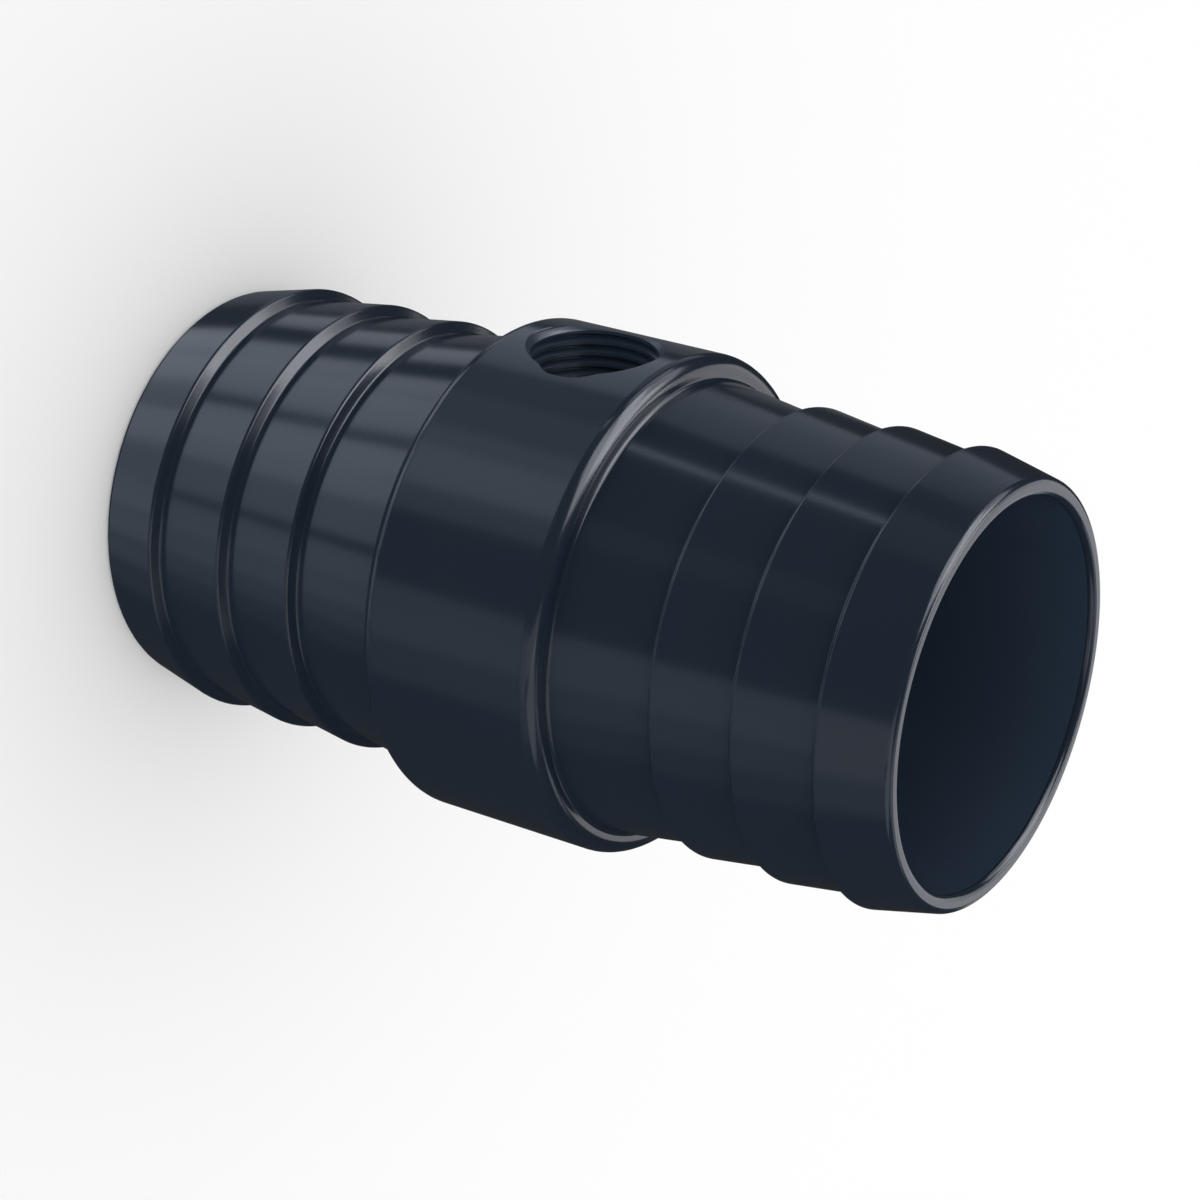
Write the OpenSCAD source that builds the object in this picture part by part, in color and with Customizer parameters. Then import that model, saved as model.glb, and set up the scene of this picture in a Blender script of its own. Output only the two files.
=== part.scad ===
// Straight hose adapter, turned from one bar: a tube with sawtooth barbs on both
// ends, a thicker collar between them and a tapped port through the collar's wall.
// Z runs along the tube, which stands on one tip. The port looks along -Y.

/* [Tube] */
// Length from tip to tip
total_len = 80; // [74:1:120]
// Diameter of the bore through the whole tube
bore_d = 33.5; // [24:0.5:34.5]
// Outside diameter at the tips
tip_d = 36.6; // [35.6:0.1:38]
// Round on the outer edge of each tip
tip_outer_round = 0.7; // [0.2:0.05:0.7]
// Round on the bore's edge at each tip
tip_inner_round = 0.6; // [0.2:0.05:0.6]

/* [Hose barbs] */
// Barbs on each end
barb_count = 3; // [1:1:3]
// Distance from the tip to the first crest
first_crest = 6.2; // [4:0.1:7.5]
// Distance from one crest to the next
barb_pitch = 7.65; // [4:0.05:8.2]
// Diameter over the crests, before their round
crest_d = 39.4; // [38.6:0.1:41]
// Diameter at the foot of each step, before its fillet
root_d = 37.4; // [36.4:0.1:38.2]
// Length of the step behind each crest, along the tube
step_len = 0.5; // [0:0.05:1.5]
// Round on each crest
crest_round = 0.3; // [0.05:0.05:0.6]
// Fillet at the foot of each step
root_fillet = 0.25; // [0.05:0.05:0.5]

/* [Collar] */
// Diameter of the collar
collar_d = 44.2; // [42.4:0.2:52]
// Length of the collar between its end faces
collar_len = 17.8; // [15:0.2:24]
// Diameter of the neck where it meets the collar
neck_d = 40; // [38:0.1:41.5]
// Round on the collar's edges
collar_round = 1.4; // [0.2:0.1:1.4]
// Fillet between neck and collar
neck_fillet = 0.4; // [0.2:0.1:0.7]

/* [Port] */
// Drilled diameter of the tapped port
port_d = 11; // [6:0.1:12]
// Diameter of the countersink at the port's mouth
port_mouth_d = 12.2; // [12.1:0.1:13.4]
// Angle between the countersink's side and the port's axis
port_mouth_angle = 45; // [30:5:60]

/* [Hidden] */
bore_r = bore_d / 2;
tip_r = tip_d / 2;
crest_r = crest_d / 2;
root_r = root_d / 2;
collar_r = collar_d / 2;
neck_r = neck_d / 2;
// Distance from a tip to the collar's end face
shoulder = (total_len - collar_len) / 2;
// A tip's rounds leave a flat land between them, even on a thin wall
tip_wall = tip_r - bore_r;
tip_outer = min(tip_outer_round, 0.46 * tip_wall);
tip_inner = min(tip_inner_round, 0.4 * tip_wall);
// The collar's round and the neck's fillet share the height of the shoulder
shoulder_height = collar_r - neck_r;
collar_edge = min(collar_round, 0.67 * shoulder_height);
neck_foot = min(neck_fillet, 0.35 * shoulder_height);
port_r = port_d / 2;
port_z = total_len / 2;
// Depth of the countersink below the top of the collar
mouth_depth = (port_mouth_d / 2 - port_r) / tan(port_mouth_angle);
// How far a cutter runs past the surface that it cuts
overcut = 1;
// Largest turn between two points of a rounded corner, in degrees
arc_step = 12;
$fn = 160;

function unit(v) = v / norm(v);

// Points of the arc that rounds corner b, between the corners a and c
function rounded_corner(a, b, c, radius) =
    let (
        to_a = unit(a - b),
        to_c = unit(c - b),
        half = acos(to_a * to_c) / 2,
        centre = b + unit(to_a + to_c) * radius / sin(half),
        start = b + to_a * radius / tan(half) - centre,
        first = atan2(start.y, start.x),
        side = sign(to_c.x * to_a.y - to_c.y * to_a.x),
        turn = 180 - 2 * half,
        steps = ceil(turn / arc_step)
    )
    [for (i = [0:steps])
        let (angle = first + side * turn * i / steps)
        centre + radius * [cos(angle), sin(angle)]];

// Corners of one barb, as [radius, distance from the tip, corner round]
function barb(crest_at) = [
    [crest_r, crest_at, crest_round],
    [root_r, crest_at + step_len, root_fillet]
];

// Corners of one end, from its tip to the middle of the collar
function hose_end() = concat(
    [[tip_r, 0, tip_outer]],
    [for (i = [0:barb_count - 1]) each barb(first_crest + i * barb_pitch)],
    [[neck_r, shoulder, neck_foot]],
    [[collar_r, shoulder, collar_edge]]
);

// The same corners seen from the other tip, in the opposite order
function mirrored(corners) =
    [for (i = [len(corners) - 1:-1:0])
        [corners[i][0], total_len - corners[i][1], corners[i][2]]];

// Half section of the tube, with every corner rounded
module section() {
    corners = concat(
        hose_end(),
        mirrored(hose_end()),
        [[bore_r, total_len, tip_inner], [bore_r, 0, tip_inner]]
    );
    n = len(corners);
    at = [for (corner = corners) [corner[0], corner[1]]];
    polygon([for (i = [0:n - 1])
        each rounded_corner(at[(i + n - 1) % n], at[i], at[(i + 1) % n], corners[i][2])]);
}

// Drilled port with its countersink, from the bore's axis out through the wall
module port_cut() {
    translate([0, 0, port_z])
        rotate([90, 0, 0]) {
            cylinder(r = port_r, h = collar_r + overcut);
            translate([0, 0, collar_r - mouth_depth])
                cylinder(
                    r1 = port_r,
                    r2 = port_mouth_d / 2 + overcut * tan(port_mouth_angle),
                    h = mouth_depth + overcut
                );
        }
}

module adapter_body() {
    color([0.07, 0.10, 0.14])
        difference() {
            rotate_extrude()
                section();
            port_cut();
        }
}

adapter_body();
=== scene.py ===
"""A straight radiator hose adapter on a pale floor.

It is black anodised, with sawtooth barbs, a collar and a tapped port. The tube
stands on one tip, its axis along Z. The port looks along -Y.
"""

import math

import bmesh
import bpy
import numpy as np
from mathutils import Matrix, Vector


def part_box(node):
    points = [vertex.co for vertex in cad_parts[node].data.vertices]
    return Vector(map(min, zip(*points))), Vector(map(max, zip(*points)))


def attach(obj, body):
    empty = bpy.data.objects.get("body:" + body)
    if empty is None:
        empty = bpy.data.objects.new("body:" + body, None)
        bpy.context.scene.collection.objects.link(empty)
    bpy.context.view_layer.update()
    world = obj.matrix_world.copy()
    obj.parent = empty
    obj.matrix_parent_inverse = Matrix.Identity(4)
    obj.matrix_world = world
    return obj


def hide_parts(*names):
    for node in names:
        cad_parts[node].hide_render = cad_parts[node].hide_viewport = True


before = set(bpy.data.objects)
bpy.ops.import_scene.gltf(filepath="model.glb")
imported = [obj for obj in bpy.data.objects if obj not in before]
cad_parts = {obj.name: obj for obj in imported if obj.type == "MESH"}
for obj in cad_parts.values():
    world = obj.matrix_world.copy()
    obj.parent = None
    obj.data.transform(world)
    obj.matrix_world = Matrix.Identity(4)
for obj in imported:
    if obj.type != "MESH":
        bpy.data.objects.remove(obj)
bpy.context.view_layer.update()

MM = 0.001

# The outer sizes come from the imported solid
BODY_LOW, BODY_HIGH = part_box("adapter_body")
TOTAL_LEN = (BODY_HIGH.z - BODY_LOW.z) / MM
COLLAR_R = (BODY_HIGH.x - BODY_LOW.x) / 2 / MM

# Sizes of the solid's section, in millimetres
BORE_R = 16.75
TIP_R = 18.3
TIP_OUTER_ROUND = 0.7
TIP_INNER_ROUND = 0.6
BARB_COUNT = 3
FIRST_CREST = 6.2
BARB_PITCH = 7.65
CREST_R = 19.7
ROOT_R = 18.7
STEP_LEN = 0.5
CREST_ROUND = 0.3
ROOT_FILLET = 0.25
COLLAR_LEN = 17.8
NECK_R = 20.0
COLLAR_ROUND = 1.4
NECK_FILLET = 0.4

# The tapped port: an M12 x 1 thread cut into the drilled hole, with a countersunk mouth
PORT_R = 5.5
THREAD_R = 6.0
THREAD_PITCH = 1.0
THREAD_ROOT_FLAT = 0.125
FLANK_ANGLE = 30
MOUTH_R = 6.1
PORT_Z = TOTAL_LEN / 2
# The thread's cutter starts this far from the bore's axis and runs out past the collar
CUTTER_START = 14.6
CUTTER_RUNOUT = 2.4

# How finely the meshes are cut up: faces round the tube and the thread, degrees between two
# points of a rounded corner, and the height of the rows near the port
SEGMENTS = 320
THREAD_SEGMENTS = 96
ARC_STEP = 9
PORT_ROW = 0.75
# How far the rows near the port reach past the thread
PORT_MARGIN = 1
# Points of a mesh that are closer than this, in metres, are one point
SAME_POINT = 1e-7
# Cut faces that meet at less than this angle, in degrees, are shaded as one surface
SMOOTH_BELOW = 28

# Material slots of the body; the thread's and the bore's slots hold lighter copies of the wall's
# oxide, which are painted light
WALL_SLOT, THREAD_SLOT, BORE_SLOT = 0, 1, 2


# Section

def unit(v):
    return v / np.hypot(*v)


def rounded_corner(before, corner, after, radius):
    """Points and outward normals of the arc that rounds one corner of the section."""
    to_before, to_after = unit(before - corner), unit(after - corner)
    half = math.acos(np.clip(to_before @ to_after, -1, 1)) / 2
    centre = corner + unit(to_before + to_after) * radius / math.sin(half)
    start = corner + to_before * radius / math.tan(half) - centre
    side = np.sign(to_after[0] * to_before[1] - to_after[1] * to_before[0])
    turn = math.pi - 2 * half
    steps = math.ceil(math.degrees(turn) / ARC_STEP)
    first = math.atan2(start[1], start[0])
    angles = first + side * turn * np.arange(steps + 1) / steps
    spokes = np.column_stack([np.cos(angles), np.sin(angles)])
    return centre + radius * spokes, side * spokes


def barb(crest_at):
    return [(CREST_R, crest_at, CREST_ROUND), (ROOT_R, crest_at + STEP_LEN, ROOT_FILLET)]


def hose_end():
    """Corners of one end, as (radius, distance from the tip, corner round)."""
    shoulder = (TOTAL_LEN - COLLAR_LEN) / 2
    barbs = [barb(FIRST_CREST + i * BARB_PITCH) for i in range(BARB_COUNT)]
    return [
        (TIP_R, 0, TIP_OUTER_ROUND),
        *[corner for pair in barbs for corner in pair],
        (NECK_R, shoulder, NECK_FILLET),
        (COLLAR_R, shoulder, COLLAR_ROUND),
    ]


def section():
    """Points and normals of the closed section, with short rows on the walls that the port cuts."""
    lower = hose_end()
    upper = [(r, TOTAL_LEN - z, round_) for r, z, round_ in reversed(lower)]
    bore = [(BORE_R, TOTAL_LEN, TIP_INNER_ROUND), (BORE_R, 0, TIP_INNER_ROUND)]
    corners = lower + upper + bore
    at = np.array([corner[:2] for corner in corners], float)
    arcs = [
        rounded_corner(at[i - 1], at[i], at[(i + 1) % len(at)], corners[i][2])
        for i in range(len(at))
    ]
    points, normals = [], []
    for i, (arc_points, arc_normals) in enumerate(arcs):
        points.extend(arc_points)
        normals.extend(arc_normals)
        start, end = arc_points[-1], arcs[(i + 1) % len(arcs)][0][0]
        if abs(end[1] - start[1]) > 2 * THREAD_R:
            margin = THREAD_R + PORT_MARGIN
            reach = np.clip([start[1], end[1]], PORT_Z - margin, PORT_Z + margin)
            rows = math.ceil(abs(reach[1] - reach[0]) / PORT_ROW)
            for z in np.linspace(*reach, rows + 1):
                points.append(np.array([start[0], z]))
                normals.append(arc_normals[-1])
    return np.array(points), np.array(normals)


# Meshes

def ring_of(points, segments):
    """Vertices of a turned surface: every point of a section, at every angle."""
    turn = 2 * np.pi * np.arange(segments) / segments
    r, z = points[:, 0, None], points[:, 1, None]
    return np.stack([r * np.cos(turn), r * np.sin(turn), z + 0 * turn], axis=-1).reshape(-1, 3)


def turned_faces(rows, segments, closed):
    """Quads between neighbouring rows, and from the last to the first if the section is closed."""
    i = np.arange(rows if closed else rows - 1)[:, None]
    j = np.arange(segments)[None]
    below, above = i * segments, (i + 1) % rows * segments
    right = (j + 1) % segments
    return np.stack([below + j, below + right, above + right, above + j], axis=-1).reshape(-1, 4)


def new_object(name, vertices, faces, material):
    mesh = bpy.data.meshes.new(name)
    places = (np.asarray(vertices) * MM).tolist()
    mesh.from_pydata(places, [], [list(map(int, face)) for face in faces])
    mesh.materials.append(material)
    mesh.update()
    thing = bpy.data.objects.new(name, mesh)
    bpy.context.scene.collection.objects.link(thing)
    return thing


def thread_cutter(material):
    """The solid that a tap takes out: a core with a helical ridge, pointing along -Y."""
    flank = (THREAD_R - PORT_R) * math.tan(math.radians(FLANK_ANGLE))
    crest_flat = THREAD_PITCH - THREAD_ROOT_FLAT - 2 * flank
    steps = [0, crest_flat, crest_flat + flank, crest_flat + flank + THREAD_ROOT_FLAT]
    radii = [PORT_R, PORT_R, THREAD_R, THREAD_R]
    turns = math.ceil((COLLAR_R + CUTTER_RUNOUT - CUTTER_START) / THREAD_PITCH)
    columns = turns * THREAD_SEGMENTS + 1
    turn = 2 * np.pi * np.arange(columns)[:, None] / THREAD_SEGMENTS
    out = CUTTER_START + THREAD_PITCH * turn / (2 * np.pi) + np.array(steps)[None]
    r = np.array(radii)[None] + 0 * turn
    grid = np.stack([r * np.cos(turn), -out, PORT_Z + r * np.sin(turn)], axis=-1)
    n = len(steps)
    last = (columns - 1) * n
    vertices = grid.reshape(-1, 3)

    def corner(i, j):
        """Row n of one turn is row 0 of the next."""
        return (i + THREAD_SEGMENTS) * n if j == n else i * n + j

    faces = [
        (corner(i, j), corner(i, j + 1), corner(i + 1, j + 1), corner(i + 1, j))
        for i in range(columns - 1)
        for j in range(n)
        if j + 1 < n or i + 1 + THREAD_SEGMENTS < columns
    ]
    first_turn = [i * n for i in range(THREAD_SEGMENTS + 1)]
    inner_rim = first_turn + list(range(n - 1, 0, -1))
    open_from = columns - 1 - THREAD_SEGMENTS
    outer_rim = [open_from * n + n - 1 + i * n for i in range(THREAD_SEGMENTS + 1)]
    outer_rim += [last + j for j in range(n - 2, -1, -1)]
    start_centre = len(vertices)
    vertices = np.vstack([
        vertices,
        [0, -CUTTER_START, PORT_Z],
        [0, -(CUTTER_START + (turns + 1) * THREAD_PITCH), PORT_Z],
    ])
    for rim, centre in ((inner_rim, start_centre), (outer_rim, start_centre + 1)):
        faces += [(rim[k], rim[(k + 1) % len(rim)], centre) for k in range(len(rim))]
    return new_object("thread_cutter", vertices, faces, material)


def mouth_cutter(material):
    """The countersink: a 45 degree cone that opens the port's mouth on top of the collar."""
    depth = MOUTH_R - PORT_R
    cone = np.array([
        (0, COLLAR_R - depth),
        (PORT_R, COLLAR_R - depth),
        (MOUTH_R + CUTTER_RUNOUT, COLLAR_R + CUTTER_RUNOUT),
        (0, COLLAR_R + CUTTER_RUNOUT),
    ])
    vertices = ring_of(cone, THREAD_SEGMENTS)[:, [0, 2, 1]] * (1, -1, 1) + (0, 0, PORT_Z)
    return new_object("mouth_cutter", vertices, turned_faces(4, THREAD_SEGMENTS, False), material)


def face_outwards(thing):
    """Merges doubled points and turns every face of a closed mesh outwards."""
    work = bmesh.new()
    work.from_mesh(thing.data)
    bmesh.ops.remove_doubles(work, verts=work.verts, dist=SAME_POINT)
    bmesh.ops.recalc_face_normals(work, faces=work.faces)
    work.to_mesh(thing.data)
    work.free()


def cut(body, cutter):
    """Takes the cutter out of the body for good, and keeps its material on the new faces."""
    modifier = body.modifiers.new("cut", "BOOLEAN")
    modifier.operation = "DIFFERENCE"
    modifier.solver = "EXACT"
    modifier.material_mode = "TRANSFER"
    modifier.object = cutter
    graph = bpy.context.evaluated_depsgraph_get()
    mesh = bpy.data.meshes.new_from_object(body.evaluated_get(graph))
    body.modifiers.clear()
    body.data = mesh
    bpy.data.objects.remove(cutter)


def wall_normals(points, section_points, section_normals):
    """Exact normals of points on the turned walls, from the nearest place on the section."""
    flat = np.column_stack([np.hypot(points[:, 0], points[:, 1]), points[:, 2]])
    best = np.full(len(flat), np.inf)
    found = np.zeros((len(flat), 2))
    for i in range(len(section_points)):
        a, b = section_points[i], section_points[(i + 1) % len(section_points)]
        na, nb = section_normals[i], section_normals[(i + 1) % len(section_points)]
        edge = b - a
        along = np.clip((flat - a) @ edge / max(edge @ edge, 1e-12), 0, 1)
        away = np.hypot(*(flat - a - along[:, None] * edge).T)
        nearer = away < best - 1e-6
        best[nearer] = away[nearer]
        found[nearer] = (na + along[:, None] * (nb - na))[nearer]
    spoke = points[:, :2] / flat[:, :1]
    normals = np.column_stack([found[:, :1] * spoke, found[:, 1]])
    return normals / np.linalg.norm(normals, axis=1)[:, None]


def shade(body, section_points, section_normals):
    """Smooth shading with the section's own normals, and crisp edges where the port was cut."""
    mesh = body.data
    mesh.shade_smooth()
    mesh.set_sharp_from_angle(angle=math.radians(SMOOTH_BELOW))
    corners = len(mesh.loops)
    normals = np.zeros(corners * 3)
    mesh.corner_normals.foreach_get("vector", normals)
    normals = normals.reshape(-1, 3)
    vertex_of = np.zeros(corners, int)
    mesh.loops.foreach_get("vertex_index", vertex_of)
    counts = np.zeros(len(mesh.polygons), int)
    mesh.polygons.foreach_get("loop_total", counts)
    material_of = np.zeros(len(mesh.polygons), int)
    mesh.polygons.foreach_get("material_index", material_of)
    on_wall = np.repeat(material_of != THREAD_SLOT, counts)
    places = np.zeros(len(mesh.vertices) * 3)
    mesh.vertices.foreach_get("co", places)
    places = places.reshape(-1, 3) / MM
    exact = wall_normals(places, section_points, section_normals)
    normals[on_wall] = exact[vertex_of[on_wall]]
    mesh.normals_split_custom_set(normals.tolist())


def paint_light_in_bore(body, material):
    """Gives the straight wall of the bore a lighter copy of the wall's oxide, as painted light that
    lifts the shade inside the tube.
    """
    body.data.materials.append(material)
    for face in body.data.polygons:
        inside = math.hypot(*face.center.xy) / MM < BORE_R
        if face.material_index == WALL_SLOT and inside:
            face.material_index = BORE_SLOT


def adapter(wall_material, lit_thread_material, lit_bore_material):
    points, normals = section()
    body = new_object("adapter_turned", ring_of(points, SEGMENTS),
                      turned_faces(len(points), SEGMENTS, True), wall_material)
    face_outwards(body)
    # The port's cut faces take the thread's lighter oxide, which is painted light
    for cutter in (thread_cutter(lit_thread_material), mouth_cutter(lit_thread_material)):
        face_outwards(cutter)
        cut(body, cutter)
    shade(body, points, normals)
    paint_light_in_bore(body, lit_bore_material)
    return body


# Materials

# Sizes of the patterns in the oxide, as noise scales
CLOUD_SCALE = 55
RING_SCALE = 5200
ETCH_SCALE = 4200
# How far the roughness strays, how strong the two bumps are and how deep
SHEEN_SPREAD = 0.03
RING_STRENGTH = 0.10
ETCH_STRENGTH = 0.12
BUMP_DEPTH = 0.02 * MM
OXIDE_IOR = 1.5

# The floor's grey, and its own glow, which keeps it white away from the part
PAPER_GREY = 0.86
PAPER_GLOW = 0.14
PAPER_ROUGHNESS = 0.9


def node(tree, kind, **values):
    made = tree.nodes.new(kind)
    for name, value in values.items():
        setattr(made, name, value)
    return made


def anodised(name, colour, deep_colour, roughness, grain):
    """Dyed black oxide on turned aluminium: a dark blue body under a satin surface. The thread and
    the bore get lighter colours here, which are painted light.
    """
    material = bpy.data.materials.new(name)
    material.use_nodes = True
    tree = material.node_tree
    tree.nodes.clear()
    link = tree.links.new
    output = node(tree, "ShaderNodeOutputMaterial")
    shader = node(tree, "ShaderNodeBsdfPrincipled")
    link(shader.outputs["BSDF"], output.inputs["Surface"])
    place = node(tree, "ShaderNodeTexCoord").outputs["Object"]

    # Slow changes of the dye's depth and of the sheen
    cloud = node(tree, "ShaderNodeTexNoise")
    cloud.inputs["Scale"].default_value = CLOUD_SCALE
    cloud.inputs["Detail"].default_value = 3
    link(place, cloud.inputs["Vector"])
    dye = node(tree, "ShaderNodeMix", data_type="RGBA")
    dye.inputs["A"].default_value = (*deep_colour, 1)
    dye.inputs["B"].default_value = (*colour, 1)
    link(cloud.outputs["Fac"], dye.inputs["Factor"])
    link(dye.outputs["Result"], shader.inputs["Base Color"])
    sheen = node(tree, "ShaderNodeMapRange")
    sheen.inputs["To Min"].default_value = roughness - SHEEN_SPREAD
    sheen.inputs["To Max"].default_value = roughness + SHEEN_SPREAD
    link(cloud.outputs["Fac"], sheen.inputs["Value"])
    link(sheen.outputs["Result"], shader.inputs["Roughness"])

    # Fine rings left by the turning tool, and the etched grain of the oxide
    axis = node(tree, "ShaderNodeSeparateXYZ")
    link(place, axis.inputs["Vector"])
    rings = node(tree, "ShaderNodeTexNoise", noise_dimensions="1D")
    rings.inputs["Scale"].default_value = RING_SCALE
    rings.inputs["Detail"].default_value = 2
    link(axis.outputs["Z"], rings.inputs["W"])
    etch = node(tree, "ShaderNodeTexNoise")
    etch.inputs["Scale"].default_value = ETCH_SCALE
    etch.inputs["Detail"].default_value = 2
    link(place, etch.inputs["Vector"])
    ring_bump = node(tree, "ShaderNodeBump")
    ring_bump.inputs["Strength"].default_value = RING_STRENGTH * grain
    ring_bump.inputs["Distance"].default_value = BUMP_DEPTH
    link(rings.outputs["Fac"], ring_bump.inputs["Height"])
    etch_bump = node(tree, "ShaderNodeBump")
    etch_bump.inputs["Strength"].default_value = ETCH_STRENGTH * grain
    etch_bump.inputs["Distance"].default_value = BUMP_DEPTH
    link(etch.outputs["Fac"], etch_bump.inputs["Height"])
    link(ring_bump.outputs["Normal"], etch_bump.inputs["Normal"])
    link(etch_bump.outputs["Normal"], shader.inputs["Normal"])
    shader.inputs["IOR"].default_value = OXIDE_IOR
    return material


def floor_material():
    """Matt white paper that stays white where nothing shades it."""
    material = bpy.data.materials.new("floor_paper")
    material.use_nodes = True
    shader = material.node_tree.nodes["Principled BSDF"]
    shader.inputs["Base Color"].default_value = (PAPER_GREY, PAPER_GREY, PAPER_GREY, 1)
    shader.inputs["Roughness"].default_value = PAPER_ROUGHNESS
    shader.inputs["Specular IOR Level"].default_value = 0
    shader.inputs["Emission Color"].default_value = (1, 1, 1, 1)
    shader.inputs["Emission Strength"].default_value = PAPER_GLOW
    return material


# Stage

# Half the floor's width, in metres
FLOOR_HALF = 6.0


def make_floor():
    """A floor that only the camera sees, so the walls mirror the lamps and not a white sheet."""
    corners = [(-1, -1), (1, -1), (1, 1), (-1, 1)]
    vertices = [(x * FLOOR_HALF / MM, y * FLOOR_HALF / MM, 0) for x, y in corners]
    floor = new_object("floor", vertices, [(0, 1, 2, 3)], floor_material())
    floor.visible_diffuse = False
    floor.visible_glossy = False
    floor.visible_transmission = False
    floor.visible_shadow = False
    return floor


def direction(azimuth, elevation):
    """A direction in the row frame: azimuth 0 is towards -Y and 90 towards +X."""
    a, e = math.radians(azimuth), math.radians(elevation)
    return Vector((math.sin(a) * math.cos(e), -math.cos(a) * math.cos(e), math.sin(e)))


# In metres, from the middle of the part
LAMP_DISTANCE = 1.5
# Tints with a mean of 1
COOL = (0.89, 0.98, 1.13)
NEUTRAL = (0.97, 0.98, 1.05)


def softbox(name, azimuths, elevations, radiance, tint=COOL):
    """A flat lamp that faces the part and fills a range of azimuths and elevations.

    It shows only in what the surfaces mirror.
    """
    azimuth, elevation = sum(azimuths) / 2, sum(elevations) / 2
    width = (azimuths[1] - azimuths[0]) * math.cos(math.radians(elevation))
    height = elevations[1] - elevations[0]
    lamp = bpy.data.lights.new(name, "AREA")
    lamp.shape = "RECTANGLE"
    lamp.size = 2 * LAMP_DISTANCE * math.tan(math.radians(width) / 2)
    lamp.size_y = 2 * LAMP_DISTANCE * math.tan(math.radians(height) / 2)
    # An area lamp's radiance is its power over its area and pi
    lamp.energy = radiance * math.pi * lamp.size * lamp.size_y * max(tint)
    lamp.color = [value / max(tint) for value in tint]
    thing = bpy.data.objects.new(name, lamp)
    towards = direction(azimuth, elevation)
    thing.location = Vector((0, 0, TOTAL_LEN * MM / 2)) + towards * LAMP_DISTANCE
    thing.rotation_mode = "QUATERNION"
    thing.rotation_quaternion = towards.to_track_quat("Z", "Y")
    thing.visible_camera = False
    thing.visible_diffuse = False
    bpy.context.scene.collection.objects.link(thing)


def make_lamps():
    # The key and its fills, mostly above the horizon, which the steps, the shoulder and the
    # rim mirror
    softbox("key_soft", (-72, 22), (16, 73), 2.0, NEUTRAL)
    softbox("key_high", (-64, -38), (36, 67), 3.6, NEUTRAL)
    softbox("key_core", (-38, -12), (16, 66), 3.5, NEUTRAL)
    softbox("key_end", (-12, 22), (20, 65), 1.7, NEUTRAL)
    softbox("key_left", (-114, -80), (41, 66), 3.6, NEUTRAL)
    softbox("key_foot", (-50, -19), (0, 14), 1.3, NEUTRAL)
    softbox("rim_low", (-133, -108), (-6, 14), 0.75, NEUTRAL)
    softbox("rim_high", (-128, -85), (14, 40), 1.3, NEUTRAL)
    softbox("back_low", (-133, -113), (42, 62), 0.45, NEUTRAL)
    softbox("back", (-152, -134), (37, 62), 1.0, NEUTRAL)
    softbox("back_high", (-186, -152), (54, 72), 0.6, NEUTRAL)
    softbox("right_low", (88, 119), (-8, 14), 0.44, NEUTRAL)
    softbox("right_mid", (88, 112), (14, 66), 0.64, NEUTRAL)
    softbox("right_back", (112, 158), (22, 66), 0.85, NEUTRAL)
    softbox("right_glow", (119, 137), (-8, 22), 0.22, NEUTRAL)

    # A row of panels low around the stage, which the lower barbs mirror
    softbox("low_a", (-68, -51.5), (-46, -37), 0.64)
    softbox("low_b", (-36, -20), (-51.5, -42), 1.13)
    softbox("low_c", (-20, 7), (-54, -43.5), 1.27)
    softbox("low_d", (7, 14.8), (-51, -43), 0.35)
    softbox("low_e", (15.3, 34), (-57, -44.5), 1.42)
    softbox("low_f", (34, 50.5), (-57, -44.5), 1.26)
    softbox("low_g", (50.5, 74.5), (-57, -44.5), 0.72)
    softbox("low_h", (81, 98), (-57, -44.5), 0.61)
    softbox("low_i", (98, 114), (-56, -43), 0.48)
    softbox("low_j", (114, 127), (-55, -42), 0.27)
    softbox("low_k", (127, 141), (-54, -41), 0.09)

    # A second row under it, which the lower tip's flank and the crests mirror
    softbox("foot_a", (-47.5, -22), (-61, -51.5), 1.22)
    softbox("foot_b", (-22, 0), (-66, -54), 1.42)
    softbox("foot_c", (0, 20), (-68, -57), 0.74)
    softbox("foot_d", (20, 47.5), (-70, -57.5), 1.25)
    softbox("foot_e", (47.5, 78), (-70, -57.5), 0.63)
    softbox("foot_f", (78, 100), (-70, -57.5), 0.74)
    softbox("foot_g", (100, 122), (-70, -57.5), 0.56)
    softbox("foot_h", (122, 140), (-69, -56), 0.32)
    softbox("foot_i", (140, 160), (-67, -54), 0.10)

    # The collar's panels
    softbox("middle_a", (-69, -29.5), (-37, -27), 0.57)
    softbox("middle_b", (-27, -10), (-37, -27), 0.19)
    softbox("middle_c", (-10, 10), (-37, -27), 0.36)
    softbox("middle_d", (10, 21), (-37, -27), 0.66)
    softbox("middle_e", (21, 39.5), (-37, -27), 0.98)
    softbox("middle_f", (39.5, 52), (-37, -27), 0.42)
    softbox("middle_g", (85.5, 111), (-37, -27), 0.38)
    softbox("middle_h", (111, 130), (-37, -27), 0.17)

    # The upper barbs' panels, one of them narrow, for the thin line on the flanks
    softbox("upper_a", (-71, -29), (-24, -7), 0.36)
    softbox("upper_line", (-9.5, -6.1), (-24, -8), 1.6)
    softbox("upper_glow", (-14, 9), (-8, 1), 0.15)
    softbox("upper_faint", (33, 46), (-24, -8), 0.09)
    softbox("upper_b", (88.5, 113), (-24, -8), 0.40)
    softbox("upper_c", (113, 129), (-24, -8), 0.23)
    softbox("upper_d", (129, 145), (-24, -8), 0.09)

    # A weak fill below and behind, for the edges that are seen at a low angle
    softbox("under_far", (-111, -76), (-60, -24), 0.10)


# The world's brightness for the plain lighting, and for what the surfaces mirror
PLAIN_LEVEL = 1.0
DIM_LEVEL = 0.03


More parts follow.
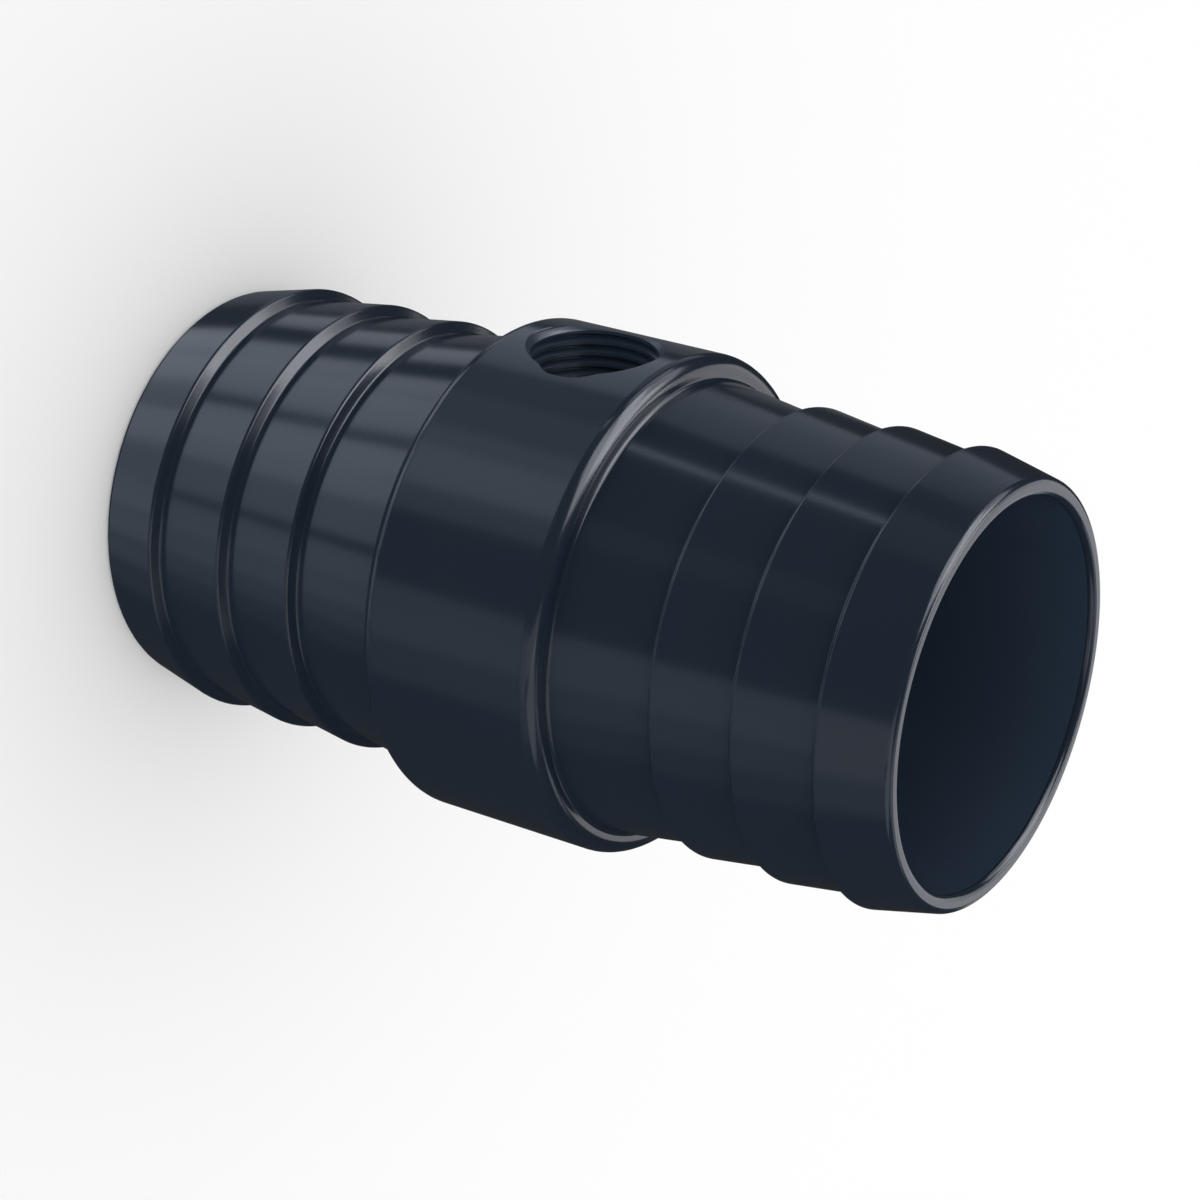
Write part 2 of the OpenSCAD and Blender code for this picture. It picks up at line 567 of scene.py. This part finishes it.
def make_world():
    """White for the camera, even for the plain lighting and dim in what the surfaces mirror."""
    world = bpy.data.worlds.new("studio")
    bpy.context.scene.world = world
    world.use_nodes = True
    world.cycles.sampling_method = "NONE"
    tree = world.node_tree
    tree.nodes.clear()
    link = tree.links.new
    output = node(tree, "ShaderNodeOutputWorld")
    sky = node(tree, "ShaderNodeBackground")
    link(sky.outputs["Background"], output.inputs["Surface"])
    sky.inputs["Color"].default_value = (1, 1, 1, 1)
    path = node(tree, "ShaderNodeLightPath")

    studio = node(tree, "ShaderNodeMix", data_type="FLOAT")
    studio.inputs["A"].default_value = PLAIN_LEVEL
    link(path.outputs["Is Glossy Ray"], studio.inputs["Factor"])
    studio.inputs["B"].default_value = DIM_LEVEL
    seen = node(tree, "ShaderNodeMix", data_type="FLOAT")
    seen.inputs["B"].default_value = 1.0
    link(path.outputs["Is Camera Ray"], seen.inputs["Factor"])
    link(studio.outputs["Result"], seen.inputs["A"])
    link(seen.outputs["Result"], sky.inputs["Strength"])


# Camera

# Where the photograph was taken from, in the row frame and in millimetres
CAMERA_AT = Vector((227.01, -121.35, 191.91))
LOOKS_AT = Vector((0.14, 1.26, 40.82))
# In degrees
CAMERA_ROLL = 105.70
# The lens and the sensor's width, in millimetres
LENS = 102.73
SENSOR_WIDTH = 36
# In metres
CLIP_NEAR, CLIP_FAR = 0.01, 50


def make_camera():
    camera = bpy.data.cameras.new("camera")
    camera.lens = LENS
    camera.sensor_width = SENSOR_WIDTH
    camera.clip_start = CLIP_NEAR
    camera.clip_end = CLIP_FAR
    thing = bpy.data.objects.new("camera", camera)
    level = (LOOKS_AT - CAMERA_AT).to_track_quat("-Z", "Y")
    roll = Matrix.Rotation(math.radians(CAMERA_ROLL), 3, "Z").to_quaternion()
    thing.rotation_mode = "QUATERNION"
    thing.rotation_quaternion = level @ roll
    thing.location = CAMERA_AT * MM
    bpy.context.scene.collection.objects.link(thing)
    bpy.context.scene.camera = thing


wall = anodised("anodised_wall", colour=(0.0117, 0.0194, 0.0319),
                deep_colour=(0.0104, 0.0174, 0.0288), roughness=0.16, grain=1.0)
# The thread's colour is the wall's oxide painted lighter: painted light that lifts the shade in the
# port and its countersunk mouth
thread = anodised("anodised_thread_painted_light", colour=(0.0215, 0.0350, 0.0550),
                  deep_colour=(0.0193, 0.0315, 0.0495), roughness=0.26, grain=0.6)
# The bore's colour is the wall's oxide painted lighter: painted light in place of the shade inside
# the tube
bore = anodised("anodised_bore_painted_light", colour=(0.0275, 0.0455, 0.0745),
                deep_colour=(0.0245, 0.0410, 0.0680), roughness=0.30, grain=1.0)
body = adapter(wall, thread, bore)
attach(body, "root")
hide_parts("adapter_body")

make_floor()
make_world()
make_lamps()
make_camera()
bpy.context.scene.view_settings.view_transform = "Standard"
